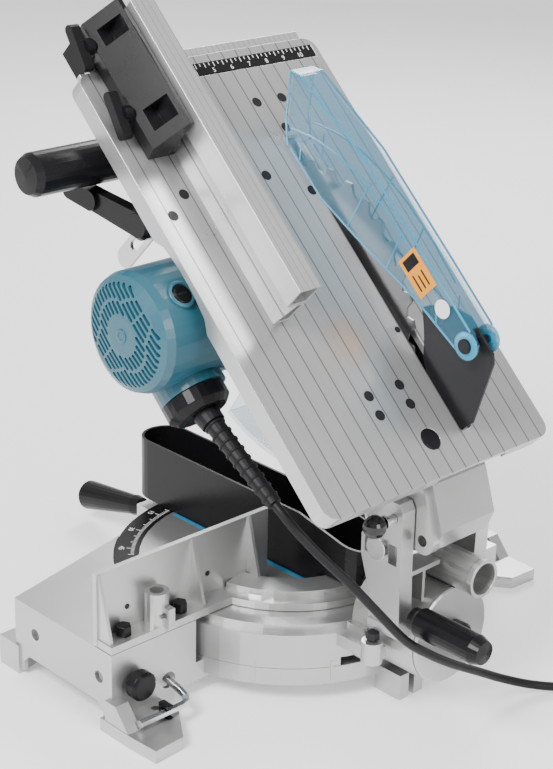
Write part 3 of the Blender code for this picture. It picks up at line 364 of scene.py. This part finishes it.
def soften(piece, width):
    bevel = piece.modifiers.new("soft edges", "BEVEL")
    bevel.width = width
    bevel.segments = 2
    bevel.limit_method = "ANGLE"
    bevel.angle_limit = SHARP
    bevel.harden_normals = True
    bevel.use_clamp_overlap = True


for row in RECORD["subparts"]:
    dress(row["node"], row["material_slot"])
print("dressed", len(RECORD["subparts"]), "pieces")

# %% [markdown]
# ## The power lead
# The lead leaves the rubber sleeve below the switch, falls behind the bracket and runs away along
# the bench. A lead keeps its length, so what isn't laid out is wound into a neat coil of round
# turns, each a lead's width from the next, with the plug beside it. The line is a list of
# points, and one tube runs through all of them.

# %% The line of the lead
LEAD_D = 0.0078
COIL = Vector((-0.150, 0.318, 0.0))
ROUTE = [(0.1600, 0.14855, 0.22455), (0.1598, 0.15700, 0.21925), (0.1560, 0.16750, 0.20850),
         (0.1440, 0.18150, 0.18900), (0.1245, 0.19750, 0.16300), (0.1020, 0.20900, 0.13300),
         (0.0760, 0.21600, 0.10150), (0.0500, 0.21900, 0.08050), (0.0200, 0.22000, 0.06000),
         (-0.0150, 0.22000, 0.03900), (-0.0450, 0.22300, 0.02150), (-0.0720, 0.23300, 0.00950),
         (-0.0960, 0.24900, 0.00480), (-0.1200, 0.26000, 0.0045), (-0.1400, 0.2640, 0.0045)]


def curve_through(points, steps):
    """Points along a smooth line through the given ones."""
    ends = [Vector(points[0]) * 2 - Vector(points[1])]
    ends += [Vector(p) for p in points]
    ends += [ends[-1] * 2 - ends[-2]]
    line = []
    for a, b, c, d in zip(ends, ends[1:], ends[2:], ends[3:]):
        for step in range(steps):
            t = step / steps
            line.append(0.5 * (2 * b + (c - a) * t + (2 * a - 5 * b + 4 * c - d) * t * t
                               + (3 * b - a - 3 * c + d) * t ** 3))
    line.append(ends[-2])
    return line


COIL_LAYERS = 3
CLIMB = 0.3  # the share of a turn in which the lead climbs to the next layer


def coil_points(centre, low, inner, outer, turns, start, step, per_turn=20):
    """Turns that wind in and out in flat layers, each layer a lead's width above the last."""
    layer = (outer - inner) / step
    points = []
    for i in range(int(turns * per_turn) + 1):
        done = i / per_turn
        stage = min(int(done / (layer + CLIMB)), COIL_LAYERS - 1)
        inside = done - stage * (layer + CLIMB)
        r = outer - inside * step if stage % 2 == 0 else inner + inside * step
        r = max(inner, min(outer, r))
        rise = max(0.0, min(1.0, (inside - layer) / CLIMB))
        z = low + (stage + rise * rise * (3 - 2 * rise)) * step
        a = start - 2 * math.pi * done
        points.append(Vector((centre.x + r * math.cos(a), centre.y + r * math.sin(a), z)))
    return points


def line_length(points):
    return sum((b - a).length for a, b in zip(points, points[1:]))


WOUND = coil_points(COIL, low=0.0045, inner=0.0340, outer=0.0538, turns=7.5417,
                    start=math.radians(-90), step=0.0080)
print("coil ends", [round(v, 4) for v in WOUND[-1]], "after", round(line_length(WOUND), 3), "m")

# %% The lead as a tube
def tube_curve(name, points, radius, body, made, resolution=4):
    data = bpy.data.curves.new(name, "CURVE")
    data.dimensions = "3D"
    data.bevel_depth = radius
    data.bevel_resolution = resolution
    data.use_fill_caps = True
    spline = data.splines.new("POLY")
    spline.points.add(len(points) - 1)
    for point, place in zip(spline.points, points):
        point.co = (*place, 1)
    spline.use_smooth = True
    piece = bpy.data.objects.new(name, data)
    piece.data.materials.append(made)
    bpy.context.scene.collection.objects.link(piece)
    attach(piece, body)
    return piece


def tail_points(last, heading, straight, radius, drop, into):
    """Straight on from the coil, round a gentle bend until it points along -Y, into the plug."""
    start = math.atan2(heading.y, heading.x)
    points = [last + heading * straight * k / 3 for k in (1, 2, 3)]
    corner = points[-1]
    middle = corner + Vector((math.sin(start), -math.cos(start), 0)) * radius
    for k in range(1, 13):
        t = k / 12
        a = start + (-math.pi / 2 - start) * t
        spot = middle + Vector((-math.sin(a), math.cos(a), 0)) * radius
        spot.z = corner.z - drop * t * t * (3 - 2 * t)
        points.append(spot)
    points.append(points[-1] + Vector((0, -into, 0)))
    return points


HEADING = (WOUND[-1] - WOUND[-2]).normalized()
TAIL = tail_points(WOUND[-1], HEADING, straight=0.0262, radius=0.0340, drop=0.0062, into=0.004)
LINE = curve_through(ROUTE + [tuple(WOUND[0])], 4)[:-1] + WOUND + TAIL
LEAD = tube_curve("lead", LINE, LEAD_D / 2, "base", RUBBER)
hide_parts("power_cord", "cord_coil")
print("lead:", round(line_length(LINE), 3), "m")

# %% [markdown]
# ## The studio
# A pale floor and soft light from three sides, as in a catalogue.

# %% Floor and lights
def floor():
    mesh = bmesh.new()
    bmesh.ops.create_grid(mesh, x_segments=1, y_segments=1, size=8)
    data = bpy.data.meshes.new("floor")
    mesh.to_mesh(data)
    mesh.free()
    piece = bpy.data.objects.new("floor", data)
    made = bpy.data.materials.new("pale_floor")
    made.use_nodes = True
    shader = made.node_tree.nodes["Principled BSDF"]
    for label, value in (("Base Color", (0.86, 0.86, 0.86, 1)), ("Roughness", 0.85),
                         ("Emission Color", (1, 1, 1, 1)), ("Emission Strength", 0.35)):
        shader.inputs[label].default_value = value
    data.materials.append(made)
    bpy.context.scene.collection.objects.link(piece)


def lamp(name, place, aim, size, power):
    data = bpy.data.lights.new(name, "AREA")
    data.shape = "DISK"
    data.size = size
    data.energy = power
    piece = bpy.data.objects.new(name, data)
    piece.location = place
    piece.rotation_mode = "QUATERNION"
    piece.rotation_quaternion = (Vector(aim) - Vector(place)).to_track_quat("-Z", "Y")
    bpy.context.scene.collection.objects.link(piece)


floor()
world = bpy.data.worlds.new("studio")
world.use_nodes = True
world.node_tree.nodes["Background"].inputs["Color"].default_value = (1, 1, 1, 1)
world.node_tree.nodes["Background"].inputs["Strength"].default_value = 0.80
bpy.context.scene.world = world
MIDDLE = (0, 0, 0.28)
lamp("key", (1.9, 0.3, 2.1), MIDDLE, 1.1, 105)
lamp("fill", (0.2, 2.3, 1.2), MIDDLE, 1.3, 32)
lamp("back", (-1.6, -1.2, 1.7), MIDDLE, 1.0, 45)
print("lights: key, fill and back")

# %% [markdown]
# ## Building fittings
# A fitting starts as a loose mesh. It is put in its place (tipped, when it sits on the head),
# gets a finish, and is then tied to the body that it moves with.

# %% From a loose mesh to a piece
def piece_of(name, mesh, body, made, place=WORLD, smooth=False, bevel=0.0):
    mesh.transform(place)
    bmesh.ops.recalc_face_normals(mesh, faces=mesh.faces)
    for face in mesh.faces:
        face.smooth = smooth or bevel > 0
    data = bpy.data.meshes.new(name)
    mesh.to_mesh(data)
    mesh.free()
    data.materials.append(made)
    piece = bpy.data.objects.new(name, data)
    bpy.context.scene.collection.objects.link(piece)
    if bevel:
        soften(piece, bevel)
    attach(piece, body)
    return piece


def slab(low, high):
    mesh = bmesh.new()
    bmesh.ops.create_cube(mesh, size=1)
    centre = (Vector(low) + Vector(high)) / 2
    size = Vector(high) - Vector(low)
    for vert in mesh.verts:
        vert.co = centre + Vector(v * s for v, s in zip(vert.co, size))
    return mesh


def turned(profile, count, axis="Z", centre=(0, 0, 0)):
    """A round piece from (radius, height) pairs, from its lower end to its upper end."""
    mesh = bmesh.new()
    rings = []
    for r, h in profile:
        ring = []
        for i in range(count):
            a = 2 * math.pi * i / count
            ring.append(mesh.verts.new((r * math.cos(a), r * math.sin(a), h)))
        rings.append(ring)
    for below, above in zip(rings, rings[1:]):
        for i in range(count):
            j = (i + 1) % count
            mesh.faces.new((below[i], below[j], above[j], above[i]))
    mesh.faces.new(rings[0])
    mesh.faces.new(rings[-1])
    turn = {"Z": Matrix.Identity(4), "X": Matrix.Rotation(math.pi / 2, 4, "Y"),
            "Y": Matrix.Rotation(-math.pi / 2, 4, "X")}[axis]
    mesh.transform(Matrix.Translation(centre) @ turn)
    return mesh


def joined(parts):
    """One mesh from several."""
    whole = bmesh.new()
    for part in parts:
        data = bpy.data.meshes.new("part")
        part.to_mesh(data)
        part.free()
        whole.from_mesh(data)
        bpy.data.meshes.remove(data)
    return whole


print("helpers: piece_of, slab, turned, joined")

# %% [markdown]
# ## Vent slots in the motor's end
# Cooling air goes in through rows of narrow slots round the end bearing, whose own disc stays
# whole. They are real openings: bars the shape of the slots are subtracted from the housing, so
# the windings show dimly behind.

# %% Motor vents
SLOT_HALF = 0.00150
SLOT_PITCH = 0.0049
SLOT_LONGEST = 0.020
SLOT_WEB = 0.0012
VENT_OUTER, VENT_INNER = 0.0425, 0.0175
THROUGH_WALL = (0.1935, 0.2150)


def slot_bar(y0, y1, z):
    """A bar with round ends that runs right through the housing's end wall."""
    mesh = bmesh.new()
    outline = []
    for end, first in ((y1 - SLOT_HALF, -90), (y0 + SLOT_HALF, 90)):
        for i in range(7):
            a = math.radians(first + 30 * i)
            outline.append((end + SLOT_HALF * math.cos(a), z + SLOT_HALF * math.sin(a)))
    bottom = [mesh.verts.new((THROUGH_WALL[0], y, v)) for y, v in outline]
    top = [mesh.verts.new((THROUGH_WALL[1], y, v)) for y, v in outline]
    mesh.faces.new(bottom)
    mesh.faces.new(top)
    for i in range(len(outline)):
        j = (i + 1) % len(outline)
        mesh.faces.new((bottom[i], bottom[j], top[j], top[i]))
    bmesh.ops.recalc_face_normals(mesh, faces=mesh.faces)
    return mesh


def vent_cutters():
    """Rows of slots on both sides of the bearing. A long slot is two with a web between them."""
    bars = []
    for row in range(-8, 9):
        dz = row * SLOT_PITCH
        if abs(dz) > VENT_OUTER - 0.004:
            continue
        reach = math.sqrt(VENT_OUTER ** 2 - dz ** 2)
        start = math.sqrt(VENT_INNER ** 2 - dz ** 2) if abs(dz) < VENT_INNER else 0.0008
        parts = [(start, reach)]
        if reach - start >= SLOT_LONGEST:
            middle = (start + reach) / 2
            parts = [(start, middle - SLOT_WEB), (middle + SLOT_WEB, reach)]
        for a, b in parts:
            bars.append(slot_bar(MOTOR_Y + a, MOTOR_Y + b, MOTOR_Z + dz))
            bars.append(slot_bar(MOTOR_Y - b, MOTOR_Y - a, MOTOR_Z + dz))
    return bars


def cut_from(node, bars, name, place):
    mesh = joined(bars)
    mesh.transform(place)
    data = bpy.data.meshes.new(name)
    mesh.to_mesh(data)
    mesh.free()
    cutter = bpy.data.objects.new(name, data)
    bpy.context.scene.collection.objects.link(cutter)
    cutter.hide_render = True
    cutter.display_type = "WIRE"
    cutter.parent = frame["nodes"][node].parent
    boolean = frame["nodes"][node].modifiers.new("vents", "BOOLEAN")
    boolean.operation = "DIFFERENCE"
    boolean.solver = "EXACT"
    boolean.object = cutter
    return len(data.polygons)


print("vent cutter faces:", cut_from("motor_housing", vent_cutters(), "vent_bars", HEAD))

# %% [markdown]
# ## Soft edges, last
# The bevels come after every cut. Springs, gears and thin strips stay as they are, and so does the
# motor housing, so the rims of its vent openings are not softened.

# %% Bevel the solids
RADIUS = {"silver_paint": 0.0009, "drawn_table": 0.0004, "black_moulding": 0.0007}
NARROW = 0.0005
PLAIN = {"return_spring", "mitre_scale", "table_scale", "power_cord", "cord_coil", "blade",
         "stator", "armature", "motor_fan", "spindle", "top_guard", "lower_guard", "motor_housing"}
for row in RECORD["subparts"]:
    if row["node"] not in PLAIN:
        solid = frame["nodes"][row["node"]]
        soften(solid, RADIUS.get(solid.data.materials[0].name, NARROW))
print("softened", len(RECORD["subparts"]) - len(PLAIN))

# %% [markdown]
# ## Screws in the table
# Screws hold the table down. Each is a dark disc with a shallow round recess, and stands a
# quarter of a millimetre proud of the face.

# %% Table screws
PROUD = 0.00025
RECESS = 0.00010
SCREW_R = 0.0046
PIN_R = 0.0028


def table_screw(x, from_back, radius):
    inner = radius * 0.52
    profile = [(radius, 0), (radius, PROUD * 0.8), (radius * 0.92, PROUD), (inner, PROUD),
               (inner * 0.98, PROUD - RECESS)]
    return turned(profile, 24, "Z", (x, TABLE_BACK - from_back, TABLE_Z))


SCREWS = [(0.139, 0.288), (0.160, 0.272), (0.016, 0.356), (-0.013, 0.356), (0.050, 0.288),
          (0.0013, 0.3275), (0.0129, 0.2655), (0.076, 0.082), (0.076, 0.0643), (0.0405, 0.0825),
          (0.0407, 0.0647)]
heads = [table_screw(x, from_back, SCREW_R) for x, from_back in SCREWS]
heads.append(table_screw(0.0104, 0.1268, PIN_R))
piece_of("table_screws", joined(heads), "table", DARK, HEAD)
print("table screws:", len(heads))

# %% [markdown]
# ## The ruler on the table and the mitre scale
# White marks on a black strip: long ones between short ones, and a number at every fourth mark of
# the ruler and every fifteen degrees of the scale. Marks are thin slabs a tenth of a millimetre
# proud, so they stay crisp at any distance.

# %% Table ruler
def numeral(text, size, place, body, made, name):
    data = bpy.data.curves.new(name, "FONT")
    data.body = text
    data.size = size
    data.align_x = "CENTER"
    data.align_y = "CENTER"
    data.extrude = 0.00005
    data.materials.append(made)
    piece = bpy.data.objects.new(name, data)
    bpy.context.scene.collection.objects.link(piece)
    piece.matrix_world = place
    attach(piece, body)
    return piece


RULER_FOOT, RULER_HEAD = -0.4155, -0.4041
MARK_HALF = 0.0003


def ruler():
    marks = []
    for i in range(37):
        x = -0.073 + i * 0.005
        length = 0.0042 if i % 2 == 0 else 0.0026
        marks.append(slab((x - MARK_HALF, RULER_FOOT, TABLE_Z - 0.0002),
                          (x + MARK_HALF, RULER_FOOT + length, TABLE_Z + 0.0001)))
    piece_of("ruler_marks", joined(marks), "table", WHITE, HEAD)
    half_turn = Matrix.Rotation(math.pi, 4, "Z")
    for k in range(2, 11):
        x = 0.1 - (k - 2) * 0.020
        spot = HEAD @ Matrix.Translation((x, RULER_HEAD - 0.0034, TABLE_Z + 0.00005)) @ half_turn
        numeral(str(k), 0.0062, spot, "table", WHITE, f"ruler_number_{k}")
    return len(marks)


print("ruler marks:", ruler())

# %% Mitre scale
MARK_START = 0.1402
MARK_LOW, MARK_TOP = 0.07175, 0.0720


def mitre_marks():
    marks = []
    for degree in range(-50, 51):
        a = math.radians(degree - 90)
        length = 0.0075 if degree % 15 == 0 else 0.0055 if degree % 5 == 0 else 0.0032
        mark = slab((MARK_START, -0.00022, MARK_LOW), (MARK_START + length, 0.00022, MARK_TOP))
        mark.transform(Matrix.Rotation(a, 4, "Z"))
        marks.append(mark)
    piece_of("mitre_marks", joined(marks), "base", WHITE)
    for degree in (-45, -30, -15, 0, 15, 30, 45):
        a = math.radians(degree - 90)
        spot = Matrix.Rotation(a + math.pi / 2, 4, "Z") @ Matrix.Translation((0, -0.1526, 0.0719))
        numeral(str(abs(degree)), 0.0072, spot, "base", WHITE, f"mitre_number_{degree + 100}")
    return len(marks)


print("mitre marks:", mitre_marks())

# %% [markdown]
# ## Brush cap and bearing boss
# A brush cap is a round screw with one wide bar across it, set in a raised ring in the housing's
# side. A low round boss covers the bearing in the middle of the motor's end.

# %% Brush cap on the motor
def brush_cap():
    ring = turned([(0.0118, 0), (0.0118, 0.0062), (0.0108, 0.0070), (0.0088, 0.0070),
                   (0.0086, 0.0052)], 32)
    cap = turned([(0.0083, 0.0048), (0.0083, 0.0064), (0.0076, 0.0070), (0.0010, 0.0070),
                  (0.0008, 0.0069)], 32)
    bar = slab((-0.0042, -0.0009, 0.0069), (0.0042, 0.0009, 0.00735))
    place = HEAD @ Matrix.Translation((0.1780, MOTOR_Y, 0.0762))
    piece_of("brush_ring", ring, "head", TEAL, place, True, 0.0006)
    piece_of("brush_cap", cap, "head", BLACK, place, True, 0.0004)
    piece_of("brush_slot", bar, "head", DARK, place)


brush_cap()
print("brush cap added")

# %% Boss on the motor's end
def motor_boss():
    ring = turned([(0.0060, 0), (0.0060, 0.0008), (0.0050, 0.0012), (0.0035, 0.0012),
                   (0.0030, 0.0004)], 32, "X", (0.2098, MOTOR_Y, MOTOR_Z))
    piece_of("motor_boss", ring, "head", TEAL, HEAD, True, 0.0003)


motor_boss()
print("bearing boss added")

# %% [markdown]
# ## Ribs and rims on the clear guard
# The guard is stiffened by cross ribs and by a curved rib that follows the blade. Seen through
# clear plastic, a rib is a darker line, so thin slabs in a deeper blue do the work.

# %% Deep blue for ribs and rims
RIM, _, RIM_SHADER = clear_finish("clear_blue_rim", (0.03, 0.25, 0.42), (0.06, 0.36, 0.54),
                                  cloud=30.0, roughness=0.12)
RIM_SHADER.inputs["Alpha"].default_value = 0.75


def strip_along(points, width, x0, x1):
    """A strip along points on the guard's wall: how far from the table's back, and how high."""
    mesh = bmesh.new()
    for (s0, h0), (s1, h1) in zip(points, points[1:]):
        a = Vector((0, TABLE_BACK - s0, TABLE_Z + h0))
        b = Vector((0, TABLE_BACK - s1, TABLE_Z + h1))
        along = (b - a).normalized()
        side = Vector((0, -along.z, along.y)) * width / 2
        corners = [a + side, b + side, b - side, a - side]
        low = [mesh.verts.new((x0, c.y, c.z)) for c in corners]
        high = [mesh.verts.new((x1, c.y, c.z)) for c in corners]
        mesh.faces.new(low)
        mesh.faces.new(high)
        for i in range(4):
            j = (i + 1) % 4
            mesh.faces.new((low[i], low[j], high[j], high[i]))
    return mesh


OUTLINE = [(0.3100, 0.0030), (0.3270, 0.0170), (0.3505, 0.0486), (0.3420, 0.0546),
           (0.2550, 0.0680), (0.1500, 0.0692), (0.0840, 0.0692)]
LOWER = [(0.3050, 0.0035), (0.2544, 0.0045), (0.1959, 0.0194), (0.1329, 0.0377),
         (0.0790, 0.0475)]
CURVE = [(0.3180, 0.0160), (0.2950, 0.0330), (0.2700, 0.0455), (0.2400, 0.0545),
         (0.2050, 0.0600), (0.1650, 0.0615), (0.1300, 0.0590)]
# Where each cross rib starts from the back, how high it starts and how high it ends.
CROSS = [(0.108, 0.0425, 0.0560), (0.170, 0.0265, 0.0600), (0.220, 0.0130, 0.0610),
         (0.292, 0.0060, 0.0200)]
CROSS_LEAN = 0.012
WALL_FACE, RIB_FACE = 0.01305, 0.0136
walls = []
for x0, x1 in ((WALL_FACE, RIB_FACE), (-RIB_FACE, -WALL_FACE)):
    walls.append(strip_along(OUTLINE, 0.0020, x0, x1))
    walls.append(strip_along(LOWER, 0.0018, x0, x1))
    walls.append(strip_along(CURVE, 0.0014, x0, x1))
    for s, low, high in CROSS:
        walls.append(strip_along([(s, low), (s + CROSS_LEAN, high)], 0.0013, x0, x1))
piece_of("guard_ribs", joined(walls), "top_guard", RIM, HEAD)
print("guard ribs on both walls")

# %% Hub discs and stickers on the guard
PRINT_BACK, PRINT_FACE = 0.01385, 0.01400


def guard_fittings():
    for side, label in ((1, "right"), (-1, "left")):
        disc = turned([(0.0118, 0), (0.0118, 0.0010), (0.0108, 0.0014), (0.0070, 0.0014)], 32, "X",
                      (0, HUB_Y, HUB_Z))
        disc.transform(Matrix.Scale(side, 4, (1, 0, 0)))
        disc.transform(Matrix.Translation((0.0130 * side, 0, 0)))
        piece_of(f"guard_hub_{label}", disc, "top_guard", RIM, HEAD, True)
    plate = slab((0.01365, TABLE_BACK - 0.167, TABLE_Z + 0.0425),
                 (0.01390, TABLE_BACK - 0.131, TABLE_Z + 0.0655))
    piece_of("guard_sticker", plate, "top_guard", ORANGE, HEAD, bevel=0.00008)
    lines = []
    for i, end in enumerate((0.150, 0.147, 0.149)):
        h = 0.0475 + i * 0.0055
        lines.append(slab((PRINT_BACK, TABLE_BACK - end, TABLE_Z + h),
                          (PRINT_FACE, TABLE_BACK - 0.135, TABLE_Z + h + 0.0016)))
    lines.append(slab((PRINT_BACK, TABLE_BACK - 0.1640, TABLE_Z + 0.0460),
                      (PRINT_FACE, TABLE_BACK - 0.1545, TABLE_Z + 0.0620)))
    piece_of("guard_sticker_lines", joined(lines), "top_guard", DARK, HEAD)
    button = turned([(0.0078, 0), (0.0078, 0.00025)], 32, "X",
                    (0.01365, TABLE_BACK - 0.113, TABLE_Z + 0.0570))
    piece_of("guard_round_sticker", button, "top_guard", WHITE, HEAD)


guard_fittings()
print("guard hub and stickers added")

# %% [markdown]
# ## Lands on the base ring
# The ring of a base casting shows narrow lands left by the mould. They are slim slabs set round
# the rim, a few tenths of a millimetre proud.

# %% Base ring lines
def ring_lines():
    marks = []
    for degree in (62, 90, 118, 35, 145):
        mark = slab((0.1426, -0.0010, 0.0200), (0.1434, 0.0010, 0.0405))
        mark.transform(Matrix.Rotation(math.radians(degree), 4, "Z"))
        marks.append(mark)
    piece_of("ring_lands", joined(marks), "base", SILVER)
    return len(marks)


print("lands:", ring_lines())

# %% Fence screws
def fence_screws():
    heads = []
    for x in (0.206, 0.117):
        for side in (1, -1):
            heads.append(turned([(0.0024, 0), (0.0024, 0.0006), (0.0016, 0.0009)], 20, "Y",
                                (side * x, 0.0214, 0.100)))
    piece_of("fence_screws", joined(heads), "base", DARK, smooth=True)
    return len(heads)


print("fence screws:", fence_screws())

# %% [markdown]
# ## Sleeve rings where the lead goes in
# The rubber sleeve has close rings, so that it bends a little everywhere instead of kinking.

# %% Rings on the lead's sleeve
RINGS = 9


def sleeve_rings():
    start, end = Vector((0.160, -0.1380, 0.0168)), Vector((0.160, -0.0640, 0.0322))
    along = (end - start).normalized()
    turn = Vector((0, 0, 1)).rotation_difference(along).to_matrix().to_4x4()
    rings = []
    for i in range(RINGS):
        t = i / (RINGS - 1)
        r = 0.0086 - 0.0021 * t
        ring = turned([(r, -0.0011), (r + 0.0007, -0.0007), (r + 0.0007, 0.0007), (r, 0.0011)], 28)
        ring.transform(Matrix.Translation(start.lerp(end, t)) @ turn)
        rings.append(ring)
    piece_of("sleeve_rings", joined(rings), "head", RUBBER, HEAD, True)


sleeve_rings()
print("sleeve rings added")
